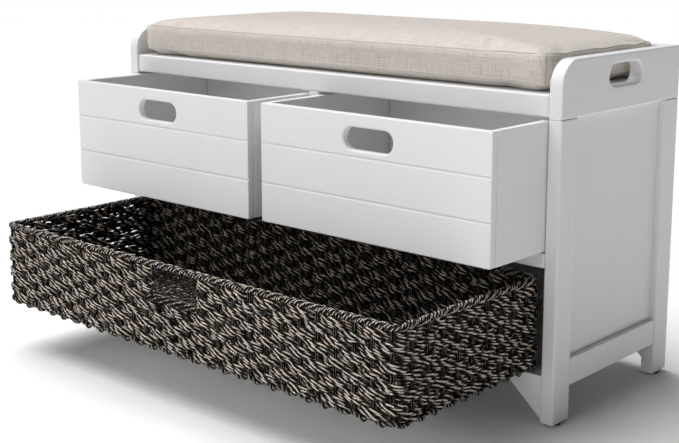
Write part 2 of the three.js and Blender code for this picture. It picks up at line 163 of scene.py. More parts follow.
def blend_colours(tree, factor, a, b, mode="MIX"):
    """Mixes two colours, given as sockets or tuples."""
    full = lambda colour: colour if isinstance(colour, bpy.types.NodeSocket) else (*colour, 1)
    node = add(tree, "Mix", data_type="RGBA", blend_type=mode)
    for key, value in (("Factor", factor), ("A", full(a)), ("B", full(b))):
        socket = [s for s in node.inputs if s.name == key and s.enabled][0]
        if isinstance(value, bpy.types.NodeSocket):
            tree.links.new(value, socket)
        else:
            socket.default_value = value
    return [s for s in node.outputs if s.enabled][0]


def bump(tree, height, distance, strength=1.0, onto=None):
    """A bump normal from a height socket, laid over another normal where one is given."""
    inputs = {"Height": height, "Distance": distance, "Strength": strength}
    if onto is not None:
        inputs["Normal"] = onto
    return add(tree, "Bump", inputs).outputs["Normal"]


# %% Floor and surround
studio_floor_radius = 8
studio_floor_sides = 96


def studio_floor():
    """A wide disc of floor: radius times (cos, sin) of evenly spaced angles, one face."""
    turn = np.linspace(0, 2 * np.pi, studio_floor_sides, endpoint=False)
    rim = studio_floor_radius * np.stack([np.cos(turn), np.sin(turn), 0 * turn], axis=1)
    mesh = bpy.data.meshes.new("studio_floor")
    mesh.from_pydata(rim.tolist(), [], [list(range(len(rim)))])
    floor = bpy.data.objects.new("studio_floor", mesh)
    bpy.context.scene.collection.objects.link(floor)
    material, tree, shader = new_material("pale_floor")
    where = add(tree, "TexCoord").outputs["Object"]
    mottle = noise(tree, where, 3.0)
    tree.links.new(ramp(tree, mottle, [(0.3, 0.91), (0.7, 0.93)]), shader.inputs["Base Color"])
    shader.inputs["Roughness"].default_value = 0.9
    floor.data.materials.append(material)
    return floor


studio_floor()


def white_surround(seen, lighting):
    """An even world: one strength as the backdrop that is seen, another as light on the bench."""
    made = bpy.data.worlds.new("studio")
    made.use_nodes = True
    tree = made.node_tree
    is_seen = add(tree, "LightPath").outputs["Is Camera Ray"]
    strength = maths(tree, "MULTIPLY_ADD", is_seen, seen - lighting, lighting)
    tree.links.new(strength, tree.nodes["Background"].inputs["Strength"])
    tree.nodes["Background"].inputs["Color"].default_value = (1.0, 1.0, 1.0, 1)
    return made


bpy.context.scene.world = white_surround(seen=1.0, lighting=0.08)
bpy.context.scene.view_settings.view_transform = "Standard"

# %% Lights
def soft_light(name, towards, spread_degrees, strength):
    """A very broad distant light, as from a wall-sized softbox, shining along a direction."""
    data = bpy.data.lights.new(name, "SUN")
    data.angle = math.radians(spread_degrees)
    data.energy = strength
    light = bpy.data.objects.new(name, data)
    bpy.context.scene.collection.objects.link(light)
    x, y, z = towards
    light.rotation_euler = (math.atan2(math.hypot(x, y), -z), 0, math.atan2(-x, y))
    return light


soft_light("overhead_softbox", (0.5, 0.1, -1.0), 55, 3.4)
soft_light("front_softbox", (0.2, 1.0, -0.4), 60, 0.87)

# %% [markdown]
# ## White paint
# The boards are sprayed with a satin white paint. Up close a sprayed board isn't a flat colour:
# the grain underneath telegraphs through as long faint ridges, the spray leaves a fine orange
# peel, and the gloss varies from place to place. The grain runs along each board, so there is one
# paint for each direction, made by one function and given out by the longest side of each node.

# %% White paint
paint_white = (0.87, 0.87, 0.88)
paint_shade = (0.845, 0.845, 0.855)


def white_paint(axis):
    """Satin paint whose grain ridges run along one axis of the object."""
    material, tree, shader = new_material("white_paint_along_" + "xyz"[axis])
    where = add(tree, "TexCoord").outputs["Object"]
    across = [26.0, 26.0, 26.0]
    across[axis] = 1.6
    grain = noise(tree, stretched(tree, where, across), 9.0, detail=6.0, roughness=0.62)
    peel = noise(tree, where, 900.0, detail=2.0)
    cloud = noise(tree, where, 7.0, detail=2.0)
    tint = maths(tree, "MULTIPLY_ADD", grain, 0.5, maths(tree, "MULTIPLY", cloud, 0.5))
    tree.links.new(
        ramp(tree, tint, [(0.35, paint_shade), (0.6, paint_white)]), shader.inputs["Base Color"]
    )
    gloss = ramp(tree, cloud, [(0.3, 0.36), (0.7, 0.46)])
    tree.links.new(gloss, shader.inputs["Roughness"])
    ridges = bump(tree, grain, 0.00022, 0.35)
    tree.links.new(bump(tree, peel, 0.00006, 0.3, ridges), shader.inputs["Normal"])
    shader.inputs["Specular IOR Level"].default_value = 0.42
    shader.inputs["Coat Weight"].default_value = 0.08
    shader.inputs["Coat Roughness"].default_value = 0.25
    return material


paints = [white_paint(axis) for axis in range(3)]
slots = {row["node"]: row["material_slot"] for row in frame["record"]["subparts"]}
painted = [name for name, slot in slots.items() if slot == "white_paint"]
for name in painted:
    low, high = limits(name)
    node_mesh = frame["nodes"][name].data
    node_mesh.materials.clear()
    node_mesh.materials.append(paints[int(np.argmax(high - low))])
print("painted boards:", len(painted))

# %% [markdown]
# ## Foot glides
# Under each leg sits a small moulded button. Its plastic is nearly black with a fine spark
# texture, and it is scuffed grey where it meets the floor.

# %% Glide plastic
def glide_plastic():
    """Dark plastic, paler towards the floor by height, with a fine grainy bump."""
    material, tree, shader = new_material("glide_plastic")
    where = add(tree, "TexCoord").outputs["Object"]
    height = add(tree, "SeparateXYZ", {0: where}).outputs["Z"]
    speck = noise(tree, where, 1500.0)
    scuff = maths(tree, "MULTIPLY", maths(tree, "SUBTRACT", 0.002, height), 300.0, clamp=True)
    worn = maths(tree, "MULTIPLY", scuff, speck)
    colour = ramp(tree, worn, [(0.0, (0.018, 0.018, 0.02)), (0.7, (0.12, 0.12, 0.12))])
    tree.links.new(colour, shader.inputs["Base Color"])
    tree.links.new(ramp(tree, speck, [(0.3, 0.45), (0.7, 0.65)]), shader.inputs["Roughness"])
    tree.links.new(bump(tree, speck, 0.0001), shader.inputs["Normal"])
    return material


glide_finish = glide_plastic()
for name, slot in slots.items():
    if slot == "glide_plastic":
        frame["nodes"][name].data.materials.clear()
        frame["nodes"][name].data.materials.append(glide_finish)

# %% [markdown]
# ## The basket: where a cord can run
# The basket is woven from dark stained seagrass cord over upright stakes. Everything in it, rim,
# rows and border, runs round the same plan: a rectangle with round corners. A distance round the
# basket is turned into a place by carrying a corner circle along the sides: its centre moves on
# the straights and waits at the corners, while the outward direction waits on the straights and
# turns at the corners. Adding to the circle's radius then moves a cord straight outwards.

# %% The basket's plan
rim_low, rim_high = limits("basket_rim")
border_low, border_high = limits("basket_border")
floor_low, floor_high = limits("basket_floor")
rim_thickness = rim_high[2] - rim_low[2]
wall_middle_inset = 0.0058
plan_corner = 0.018
middle_corner = plan_corner - wall_middle_inset

straight_x = rim_high[0] - plan_corner
straight_y = (rim_high[1] - rim_low[1]) / 2 - plan_corner
plan_centre_y = (rim_high[1] + rim_low[1]) / 2
quarter = np.pi / 2 * middle_corner
plan_steps = [0, straight_x, quarter, 2 * straight_y, quarter, 2 * straight_x]
plan_steps += [quarter, 2 * straight_y, quarter, straight_x]
plan_distance = np.cumsum(plan_steps)
around_length = plan_distance[-1]
circle_x = straight_x * np.array([0, 1, 1, 1, 1, -1, -1, -1, -1, 0])
circle_y = plan_centre_y + straight_y * np.array([-1, -1, -1, 1, 1, 1, 1, -1, -1, -1])
heading = np.pi / 2 * np.array([-1, -1, 0, 0, 1, 1, 2, 2, 3, 3])


def around_basket(distance, outward, height):
    """A path round the basket. The point is the corner circle's centre plus its radius and the
    outward offset times the heading; the distance is measured along the middle of the wall from
    the middle of the front. Returns the points and the outward directions."""
    along = np.mod(distance, around_length)
    turn = np.interp(along, plan_distance, heading)
    out = np.stack([np.cos(turn), np.sin(turn), np.zeros_like(turn)], axis=1)
    centre = np.stack([
        np.interp(along, plan_distance, circle_x),
        np.interp(along, plan_distance, circle_y),
        np.broadcast_to(height, along.shape),
    ], axis=1)
    return centre + (middle_corner + outward)[:, None] * out, out


print("round the basket:", round(float(around_length), 3), "m")

# %% [markdown]
# ## Twisted cord
# Each cord is two plies twisted together. Its section is a ring of six points, two of them high
# and four low, and the ring turns as it travels, so that the high points draw the plies as real
# ridges. The turning ring also carries the UV map: across it, the map follows one ply, so a grain
# drawn in that map runs along the twisted fibres without any extra work.

# %% Cord from a path
cord_sides = 6
ply_relief = np.array([1.0, 0.74, 0.74] * 2)


def cord(path, out, radius, turn_length=0.030, closed=True, tone=0.5, start=0.0, proud=0.0,
         tall=1.0):
    """A twisted cord along a path: centre plus radius times relief times (cos, sin) of the ring
    angle, in the plane across the path, with the sine side made taller by a factor. The ring
    angle grows by a full turn every turn length, rounded to whole turns so that a closed cord
    meets itself. A point's wear-and-light value is the size of its cosine: a painted highlight
    where the cord faces outward and inward, painted shade on the two sides between, where it
    meets the cords beside it, and more on the side that the cord stands proud of, which is
    rubbed wear and painted light together."""
    ahead = np.roll(path, -1, 0) if closed else np.vstack([path[1:], 2 * path[-1] - path[-2]])
    behind = np.roll(path, 1, 0) if closed else np.vstack([2 * path[0] - path[1], path[:-1]])
    tangent = ahead - behind
    tangent /= np.linalg.norm(tangent, axis=1, keepdims=True)
    first = out - tangent * np.sum(out * tangent, axis=1, keepdims=True)
    first /= np.linalg.norm(first, axis=1, keepdims=True)
    second = np.cross(tangent, first)
    steps = np.linalg.norm(ahead - path, axis=1)
    travelled = np.concatenate([[0], np.cumsum(steps)])
    turns = max(1, round(travelled[-1 if closed else -2] / turn_length))
    spin = start + 2 * np.pi * turns * travelled[:-1] / travelled[-1 if closed else -2]
    ring = spin[:, None] + 2 * np.pi * np.arange(cord_sides) / cord_sides
    reach = (np.broadcast_to(radius, len(path))[:, None] * ply_relief)[:, :, None]
    points = path[:, None] + reach * (
        np.cos(ring)[:, :, None] * first[:, None] + tall * np.sin(ring)[:, :, None] * second[:, None]
    )
    # Painted light: the cosine lightens the cord where it faces outward and inward as a painted
    # highlight, and darkens its sides, where cords meet, as painted shade.
    facing = np.cos(ring)
    side = np.sign(facing) * np.broadcast_to(proud, len(path))[:, None]
    return {"points": points, "travelled": travelled, "closed": closed,
            "tone": np.broadcast_to(tone, len(path)),
            "wear_and_light": np.abs(facing) ** 1.3 * (0.62 + 0.38 * side)}


def cord_faces(made, first_vertex):
    """Quads between neighbouring rings, with two quads over each open end, and their UVs: length
    in metres along the cord, and the share of a turn round it."""
    count = len(made["points"])
    rings = count if made["closed"] else count - 1
    i, j = np.meshgrid(np.arange(rings), np.arange(cord_sides), indexing="ij")
    i, j = i.ravel(), j.ravel()
    after, beside = (i + 1) % count, (j + 1) % cord_sides
    corner = lambda a, b: first_vertex + a * cord_sides + b
    quads = np.stack([corner(i, j), corner(i, beside), corner(after, beside), corner(after, j)], 1)
    u = made["travelled"]
    uv = np.stack([
        np.stack([u[i], j / cord_sides], 1), np.stack([u[i], (j + 1) / cord_sides], 1),
        np.stack([u[i + 1], (j + 1) / cord_sides], 1), np.stack([u[i + 1], j / cord_sides], 1),
    ], axis=1)
    if not made["closed"]:
        start, end = corner(0, 0), corner(count - 1, 0)
        caps = np.array([[0, 3, 2, 1], [0, 5, 4, 3]])
        quads = np.vstack([quads, start + caps, end + caps[:, ::-1]])
        uv = np.concatenate([uv, np.zeros((4, 4, 2))])
    return quads, uv


def quad_mesh(name, points, quads, uv, values, material):
    """A mesh from arrays of points and quads, with a UV map and named values for each point."""
    mesh = bpy.data.meshes.new(name)
    mesh.vertices.add(len(points))
    mesh.vertices.foreach_set("co", points.astype(np.float32).ravel())
    mesh.loops.add(quads.size)
    mesh.loops.foreach_set("vertex_index", quads.astype(np.int32).ravel())
    mesh.polygons.add(len(quads))
    mesh.polygons.foreach_set("loop_start", np.arange(0, quads.size, 4, dtype=np.int32))
    mesh.polygons.foreach_set("use_smooth", np.ones(len(quads), bool))
    layer = mesh.uv_layers.new(name="cord")
    layer.uv.foreach_set("vector", uv.astype(np.float32).ravel())
    for key, value in values.items():
        layer = mesh.attributes.new(key, "FLOAT", "POINT")
        layer.data.foreach_set("value", value.astype(np.float32).ravel())
    mesh.update(calc_edges=True)
    mesh.materials.append(material)
    made = bpy.data.objects.new(name, mesh)
    bpy.context.scene.collection.objects.link(made)
    return made


def cord_piece(name, cords, material):
    """One object from several cords."""
    first_vertex, quads, uvs = 0, [], []
    for one in cords:
        faces, uv = cord_faces(one, first_vertex)
        first_vertex += one["points"].shape[0] * cord_sides
        quads.append(faces)
        uvs.append(uv)
    points = np.concatenate([one["points"].reshape(-1, 3) for one in cords])
    values = {
        "tone": np.concatenate([np.repeat(one["tone"], cord_sides) for one in cords]),
        "wear_and_light": np.concatenate([one["wear_and_light"].ravel() for one in cords]),
    }
    made = quad_mesh(name, points, np.concatenate(quads), np.concatenate(uvs), values, material)
    print(name, "cords:", len(cords), "faces:", len(made.data.polygons))
    return made


# %% [markdown]
# ## Seagrass, stained dark
# The stain takes unevenly: the crowns of the plies are rubbed back to a greyed tan, and whole
# lengths of cord come out redder or greyer than their neighbours. The crowns also carry a painted
# highlight, and the grooves between them keep the dark stain and are painted almost black besides,
# as painted shade. So the colour has three parts: a crown-and-groove part read across the cord,
# which is rubbed stain and painted light together, a streaky fibre part drawn out along the ply,
# and a slow tone that each cord carries with it.

# %% Seagrass
def seagrass(name, lift=1.0):
    """Stained cord. Wear and painted light is the ply's crown times the wear-and-light value
    times two noises along the cord, and a ramp turns it into colour, from nearly black to a
    greyed tan scaled by a lift: rubbed stain, with a painted highlight on the crowns and painted
    shade in the grooves."""
    material, tree, shader = new_material(name)
    where = add(tree, "UVMap", uv_map="cord").outputs["UV"]
    tone = add(tree, "Attribute", attribute_name="tone").outputs["Fac"]
    wear_and_light = add(tree, "Attribute", attribute_name="wear_and_light").outputs["Fac"]
    split = add(tree, "SeparateXYZ", {0: where})
    two_plies = maths(tree, "MULTIPLY", split.outputs["Y"], 4 * math.pi)
    crown = maths(tree, "MULTIPLY_ADD", maths(tree, "COSINE", two_plies), 0.5, 0.5)
    shifted = maths(tree, "MULTIPLY_ADD", tone, 40.0, split.outputs["X"])
    coords = add(tree, "CombineXYZ", {0: shifted, 1: split.outputs["Y"], 2: tone}).outputs[0]
    fibre = noise(tree, stretched(tree, coords, (150.0, 34.0, 10.0)), 1.0, 4.0, 0.65)
    patch = noise(tree, stretched(tree, coords, (150.0, 4.0, 10.0)), 1.0, 2.0, 0.6)
    # Painted light: the ply crowns are lightened as a painted highlight and the grooves darkened as
    # painted shade, on top of the rubbed stain.
    shape = maths(tree, "MULTIPLY", maths(tree, "POWER", crown, 1.5), wear_and_light)
    patched = maths(tree, "MULTIPLY_ADD", patch, 5.0, -1.5)
    worn = maths(tree, "MULTIPLY", shape, patched)
    streaked = maths(tree, "MULTIPLY", worn, maths(tree, "MULTIPLY_ADD", fibre, 1.2, 0.45))
    stops = [
        (0.0, (0.003, 0.0026, 0.0024)),
        (0.17, (0.010 * lift, 0.008 * lift, 0.007 * lift)),
        (0.36, (0.18 * lift, 0.154 * lift, 0.136 * lift)),
        (0.62, (0.95 * lift, 0.86 * lift, 0.77 * lift)),
    ]
    colour = ramp(tree, streaked, stops)
    redness = ramp(tree, tone, [(0.2, (0.93, 0.98, 1.0)), (0.8, (1.05, 0.97, 0.90))])
    tree.links.new(blend_colours(tree, 1.0, colour, redness, "MULTIPLY"), shader.inputs["Base Color"])
    tree.links.new(ramp(tree, fibre, [(0.3, 0.38), (0.7, 0.58)]), shader.inputs["Roughness"])
    tree.links.new(bump(tree, fibre, 0.0004, 0.8), shader.inputs["Normal"])
    shader.inputs["Specular IOR Level"].default_value = 0.08
    return material


seagrass_cord = seagrass("seagrass_cord")
border_cord = seagrass("seagrass_border", 0.5)
# The stakes get 0.22 of the brightness: painted shade for the pits where the rows pass behind them.
stake_cord_painted_shade = seagrass("seagrass_stake", 0.22)

# %% [markdown]
# ## The woven rows
# Nine rows of cord go round the walls. A row is three cords lying side by side, and it passes in
# front of one stake and behind the next, so its distance from the wall's middle is a wave as long
# as two stakes. The cords hug a stake only where they pass behind it, so the wave is raised to a
# power that keeps it out for most of its length and dips quickly. The next row is half a wave
# further on, which is what gives the staggered dark pits.

# %% Rows of the wall
rng = np.random.default_rng(28)
grip_low, grip_high = limits("basket_grip_wrap")
row_count = 9
cords_in_row = 3
stake_count = 72
stake_spacing = around_length / stake_count
weave_low = border_high[2] - 0.001
weave_high = rim_low[2] + 0.0015
row_height = (weave_high - weave_low) / row_count
cord_squeeze = 1.12
cord_radius = row_height / cords_in_row / 2 * cord_squeeze
cord_tallness = 1.3
weave_reach = 0.0032
wave_power = 0.6
ring_step = 0.0018
opening_half = (grip_high[0] - grip_low[0]) / 2
grip_middle = (grip_low[2] + grip_high[2]) / 2
opening_margin = 0.002
tuck_depth = 0.0035
tuck_length = 0.006


def slow_noise(count, waves, size):
    """A smooth closed random line: a sum of sine waves with random strengths and starts."""
    turn = np.linspace(0, 2 * np.pi, count, endpoint=False)
    terms = np.arange(1, waves + 1)
    strength = rng.normal(size=waves) / math.sqrt(waves)
    start = rng.uniform(0, 2 * np.pi, waves)
    return size * np.sum(strength * np.sin(turn[:, None] * terms + start), axis=1)


def weave_wave(distance, row):
    """In front of a stake at +1 and behind the next at -1: a raised cosine to a power under 1."""
    raised = (1 + np.cos(np.pi * distance / stake_spacing + np.pi * row)) / 2
    return 2 * np.power(raised, wave_power) - 1


def row_cords(row):
    """The cords of one row. Rows beside the hand opening stop at it and tuck in behind."""
    middle = weave_low + (row + 0.5) * row_height
    cut = middle > grip_middle - opening_margin
    count = int(around_length / ring_step)
    made = []
    for k in range(cords_in_row):
        if cut:
            distance = np.linspace(opening_half, around_length - opening_half, count)
            to_end = np.minimum(distance - opening_half, around_length - opening_half - distance)
            tuck = tuck_depth * np.exp(-((to_end / tuck_length) ** 2))
        else:
            distance = np.linspace(0, around_length, count, endpoint=False)
            tuck = 0.0
        wave = weave_wave(distance + slow_noise(count, 40, 0.0024), row)
        outward = weave_reach * wave - tuck
        outward = outward + slow_noise(count, 120, 0.0005)
        height = middle + (k - 1) * row_height / cords_in_row + slow_noise(count, 110, 0.0008)
        path, out = around_basket(distance, outward, height)
        radius = cord_radius * (1 + slow_noise(count, 200, 0.09))
        tone = np.clip(rng.uniform(0.25, 0.75) + slow_noise(count, 14, 0.12), 0, 1)
        start = rng.uniform(0, 6)
        turn_length = rng.uniform(0.028, 0.042)
        made.append(
            cord(path, out, radius, turn_length, not cut, tone, start, wave, cord_tallness)
        )
    return made


row_groups = {"lower": range(0, 4), "middle": range(4, 7), "upper": range(7, row_count)}
walls = ("basket_front_wall", "basket_rear_wall", "basket_left_wall", "basket_right_wall")
for label, rows in row_groups.items():
    cords = [one for row in rows for one in row_cords(row)]
    piece = cord_piece("basket_weave_" + label, cords, seagrass_cord)
    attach(piece, "basket")
    if label == "middle":
        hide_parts(*walls)

# %% [markdown]
# ## Stakes
# A stake is a pair of thin upright cords. They are seen only in the pits, where the row runs
# behind them, so a few rings each are enough.

# %% Stakes
stake_radius = 0.0016
stake_rings = 7


def stake_cords():
    """Pairs of upright cords, half a millimetre apart, from the border to inside the rim."""
    height = np.linspace(border_low[2] + 0.004, rim_high[2] - 0.004, stake_rings)
    made = []
    for k in range(stake_count):
        for side in (-1, 1):
            place = k * stake_spacing + side * stake_radius * 1.15
            if abs((place + around_length / 2) % around_length - around_length / 2) < opening_half:
                top = np.linspace(height[0], grip_middle, stake_rings)
            else:
                top = height
            path, out = around_basket(np.full(stake_rings, place), np.zeros(stake_rings), top)
            tone = rng.uniform(0.2, 0.5)
            made.append(cord(path, out, stake_radius, 0.02, closed=False, tone=tone))
    return made


stakes = cord_piece("basket_stakes", stake_cords(), stake_cord_painted_shade)
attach(stakes, "basket")

# %% [markdown]
# ## Rim and grip
# The rim is a stiff ring wrapped with cord. Two cords are wound side by side, so each lies at a
# lean and they come round in turn. The grip under the hand opening is wrapped in the same way
# over a short bar, whose ends tuck into the wall.

# %% Wrapped bands
wrap_cords = 2
wrap_pitch = 0.0094
wrap_radius = 0.00215
rim_middle = (rim_low[2] + rim_high[2]) / 2
rim_inset = rim_thickness / 2
rim_lift = 0.0006
rim_margin = 0.0008


def wrapped(distance, middle_inset, height, band_radius, pitch, start, lean=1):
    """A cord wound round a band: the band's middle plus its radius times (cos, sin) of an angle
    that grows by a turn every pitch, in the plane of outward and up."""
    angle = lean * 2 * np.pi * distance / pitch + start
    outward = wall_middle_inset - middle_inset + band_radius * np.cos(angle)
    path, out = around_basket(distance, outward, height + band_radius * np.sin(angle))
    up = np.array([0, 0, 1.0])
    return path, out * np.cos(angle)[:, None] + up * np.sin(angle)[:, None]


def rim_cords():
    """Two cords wound round the whole rim, half a turn apart, in whole turns."""
    turns = round(around_length / wrap_pitch)
    count = turns * 15
    made = []
    for k in range(wrap_cords):
        distance = np.linspace(0, around_length, count, endpoint=False)
        reach = rim_inset - rim_margin - wrap_radius + slow_noise(count, 90, 0.0004)
        start = 2 * np.pi * k / wrap_cords
        pitch = around_length / turns
        path, out = wrapped(distance, rim_inset, rim_middle + rim_lift, reach, pitch, start)
        tone = np.clip(0.45 + slow_noise(count, 60, 0.2), 0, 1)
        radius = wrap_radius * (1 + slow_noise(count, 260, 0.14))
        made.append(cord(path, out, radius, 0.017, tone=tone, proud=0.7))
    return made


rim = cord_piece("basket_rim_wrap", rim_cords(), seagrass_cord)
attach(rim, "basket")
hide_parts("basket_rim")


grip_tuck = 0.004
grip_inset = 0.0062
grip_band_radius = 0.0036
grip_rings = 320


def grip_cords():
    """The same winding over the grip bar, open at both ends."""
    reach = opening_half + grip_tuck
    made = []
    for k in range(wrap_cords):
        distance = np.linspace(-reach, reach, grip_rings)
        start = 2 * np.pi * k / wrap_cords
        path, out = wrapped(
            distance, grip_inset, grip_middle, grip_band_radius, wrap_pitch, start
        )
        made.append(cord(path, out, wrap_radius, 0.014, closed=False, tone=0.35 + 0.15 * k))
    return made


grip = cord_piece("basket_grip_wrapping", grip_cords(), seagrass_cord)
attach(grip, "basket")
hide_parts("basket_grip_wrap")

# %% [markdown]
# ## Bottom border
# At the bottom the stakes are plaited into a three-strand border. In a plait each strand swings
# from side to side once while it rises and falls twice, and the three are a third of a wave apart.

# %% Border
border_waves = 56
border_radius = 0.0033
border_middle = (border_low[2] + border_high[2]) / 2


def border_cords():
    """Three strands of a plait: outward is a sine, height a sine of twice the angle. All three
    also rise and dip together by a cosine once for each stake."""
    count = border_waves * 20
    distance = np.linspace(0, around_length, count, endpoint=False)
    dip = 0.0022 + 0.0029 * np.cos(2 * np.pi * distance / stake_spacing)
    made = []
    for k in range(3):
        angle = border_waves * 2 * np.pi * distance / around_length + 2 * np.pi * k / 3
        outward = wall_middle_inset - 0.0053 + 0.0022 * np.sin(angle)
        height = border_middle + 0.0013 * np.sin(2 * angle) + dip + slow_noise(count, 50, 0.0003)
        path, out = around_basket(distance, outward, height)
        tone = np.clip(0.4 + slow_noise(count, 30, 0.12), 0, 1)
        made.append(cord(path, out, border_radius, 0.018, tone=tone, proud=np.sin(angle)))
    return made


border = cord_piece("basket_border_plait", border_cords(), border_cord)
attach(border, "basket")
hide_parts("basket_border")

# %% [markdown]
# ## Basket floor
# The floor is woven the same way as the walls, lying flat: cords run from end to end, three to a
# row, over and under cross stakes.

# %% Floor weave
floor_cord_radius = 0.0019
floor_stake_radius = 0.0015
floor_rings = 170
floor_reach = 0.0013


def floor_cords():
    """Straight rows along X whose height is the weave's wave, and cross stakes along Y."""
    low, high = floor_low + 0.001, floor_high - 0.001
    rows = int((high[1] - low[1]) / (2 * floor_cord_radius))
    x = np.linspace(low[0], high[0], floor_rings)
    up = np.tile([0, 0, 1.0], (floor_rings, 1))
    middle = (low[2] + high[2]) / 2
    made = []
    for row, y in enumerate(np.linspace(low[1] + 0.002, high[1] - 0.002, rows)):
        wave = weave_wave(x - low[0], row // cords_in_row)
        path = np.stack([x, np.full(floor_rings, y), middle + floor_reach * wave], axis=1)
        tone = rng.uniform(0.3, 0.6)
        made.append(cord(path, up, floor_cord_radius, closed=False, tone=tone))
    for k in range(int((high[0] - low[0]) / stake_spacing) + 1):
        y = np.linspace(low[1], high[1], stake_rings)
        place = np.full(stake_rings, low[0] + k * stake_spacing)
        path = np.stack([place, y, np.full(stake_rings, middle)], axis=1)
        made.append(cord(path, up[:stake_rings], floor_stake_radius, closed=False, tone=0.3))
    return made


floor_weave = cord_piece("basket_floor_weave", floor_cords(), seagrass_cord)
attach(floor_weave, "basket")
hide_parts("basket_floor")

# %% [markdown]
# ## The cushion: foam in a sewn cover
# The pad is a foam block in a boxed cover: a top panel, a bottom panel and a band round the sides.
# The foam is cut a little too big for the cover, so the top crowns, the band bulges and the
# corners round off. That comes from a cloth simulation: the cover starts smaller than its space,
# is blown up from inside with gravity off, and no point may travel further than a cap.

# %% Inflate
import bmesh
from mathutils.bvhtree import BVHTree

cushion_low, cushion_high = limits("seat_cushion")
cushion_middle = (cushion_low + cushion_high) / 2
cushion_half = (cushion_high - cushion_low)[:2] / 2
seam_drop = 0.022
seam_height = cushion_high[2] - seam_drop
cloth_steps = 20
start_inset = 0.004
travel_cap = 0.012
sideways_share = 0.35


def start_form():
    """The CAD cushion, merged, drawn in by the inset on every side and remeshed evenly."""
    source = frame["nodes"]["seat_cushion"]
    mesh = source.data.copy()
    mesh.transform(source.matrix_world)
    form = bmesh.new()
    form.from_mesh(mesh)
    bmesh.ops.remove_doubles(form, verts=form.verts, dist=1e-5)
    form.to_mesh(mesh)
    form.free()
    points = np.empty(len(mesh.vertices) * 3)
    mesh.vertices.foreach_get("co", points)
    points = points.reshape(-1, 3)
    size = cushion_high - cushion_low
    scale = 1 - 2 * np.array([start_inset, start_inset, start_inset / 2]) / size
    points = cushion_middle + (points - cushion_middle) * scale
    mesh.vertices.foreach_set("co", points.ravel())
    pad = bpy.data.objects.new("cushion_pad", mesh)
    bpy.context.scene.collection.objects.link(pad)
    remesh = pad.modifiers.new("even", "REMESH")
    remesh.mode = "VOXEL"
    remesh.voxel_size = 0.006
    apply_modifiers(pad)
    return pad


def apply_modifiers(piece):
    """Bakes the modifiers as they stand on this frame into the mesh."""
    bpy.context.view_layer.update()
    seen = piece.evaluated_get(bpy.context.evaluated_depsgraph_get())
    baked = bpy.data.meshes.new_from_object(seen)
    piece.modifiers.clear()
    piece.data = baked


def points_of(mesh):
    """The vertices as an array."""
    points = np.empty(len(mesh.vertices) * 3)
    mesh.vertices.foreach_get("co", points)
    return points.reshape(-1, 3)


pad = start_form()
before = points_of(pad.data)
cloth = pad.modifiers.new("cover", "CLOTH")
cloth.settings.quality = 6
cloth.settings.mass = 0.3
cloth.settings.tension_stiffness = 12
cloth.settings.compression_stiffness = 12
cloth.settings.bending_stiffness = 0.6
cloth.settings.use_pressure = True
cloth.settings.uniform_pressure_force = 4.0
cloth.settings.effector_weights.gravity = 0
for step in range(1, cloth_steps + 1):
    bpy.context.scene.frame_set(step)
apply_modifiers(pad)
bpy.context.scene.frame_set(1)
after = points_of(pad.data)
travel = after - before
length = np.linalg.norm(travel, axis=1, keepdims=True)
capped = before + travel * np.minimum(1, travel_cap / np.maximum(length, 1e-9)) * (
    sideways_share, sideways_share, 1.0
)
print("pad points:", len(capped), "furthest travel:", round(float(length.max()), 4), "m")

# %% [markdown]
# ## Sitting in place
# The swollen pad is set down: its underside is flat where it rests on the seat board, its ends
# keep clear of the end boards, and the band dips slightly between its corners, because foam pulls
# a cover in where nothing holds it out.

# %% Fit to its place
edge_room = 0.0005


def settled(points):
    """Scales the swollen pad back into its space, flattens its underside, and rounds off the
    last centimetre at each end: x and y are drawn in where both are near their limits."""
    low, high = points.min(0), points.max(0)
    room_low = cushion_low + (edge_room, edge_room, 0.0)
    room_high = cushion_high - (edge_room, edge_room, 0.001)
    placed = room_low + (points - low) / (high - low) * (room_high - room_low)
    across = (placed[:, :2] - cushion_middle[:2]) / ((room_high - room_low)[:2] / 2)
    corner = np.prod(np.abs(across) ** 6, axis=1)
    placed[:, :2] -= 0.001 * corner[:, None] * np.sign(across)
    waist = 0.0025 * np.sin(np.pi * np.clip((placed[:, 2] - room_low[2]) / 0.05, 0, 1))
    risen = placed[:, 2] - room_low[2]
    placed[:, 2] -= 0.006 * np.exp(-risen / 0.009)
    placed[:, 2] = np.maximum(placed[:, 2], room_low[2] + 0.0003)
    side = np.abs(across[:, 1]) > 0.97
    placed[side, 1] -= (waist * np.cos(np.pi / 2 * across[:, 0]) * np.sign(across[:, 1]))[side]
    return placed


pad.data.vertices.foreach_set("co", settled(capped).ravel())
pad.data.polygons.foreach_set("use_smooth", np.ones(len(pad.data.polygons), bool))
pad.data.update()
print("pad box:", np.round(points_of(pad.data).min(0), 4), np.round(points_of(pad.data).max(0), 4))

# %% [markdown]
# ## Linen-look cloth
# The cover is a plain weave of slubby yarn in two tones, oatmeal and a pinkish grey. Thick and
# thin places run for some centimetres along single threads, both ways, which is what gives the
# cloth its crosshatched mottle. The map lays metres of cloth on each face from the direction it
# faces, so that threads run level and upright on the band and along and across the top.

# %% Linen
def lay_cloth(piece):
    """A UV map in metres: (x, y) on faces that face up or down, (x, z) to the front and back,
    (y, z) at the ends."""
    mesh = piece.data
    normals = np.empty(len(mesh.polygons) * 3)
    mesh.polygons.foreach_get("normal", normals)
    facing = np.argmax(np.abs(normals.reshape(-1, 3)) * (1.0, 1.0, 1.1), axis=1)
    sizes = np.empty(len(mesh.polygons), np.int32)
    mesh.polygons.foreach_get("loop_total", sizes)
    corners = np.empty(len(mesh.loops), np.int32)
    mesh.loops.foreach_get("vertex_index", corners)
    axes = np.array([[1, 2], [0, 2], [0, 1]])[np.repeat(facing, sizes)]
    at = points_of(mesh)[corners]
    layer = mesh.uv_layers.new(name="cloth")
    layer.uv.foreach_set("vector", np.take_along_axis(at, axes, axis=1).astype(np.float32).ravel())


thread_pitch = 0.00105
warp_light = (0.80, 0.73, 0.67)
warp_dark = (0.43, 0.375, 0.335)


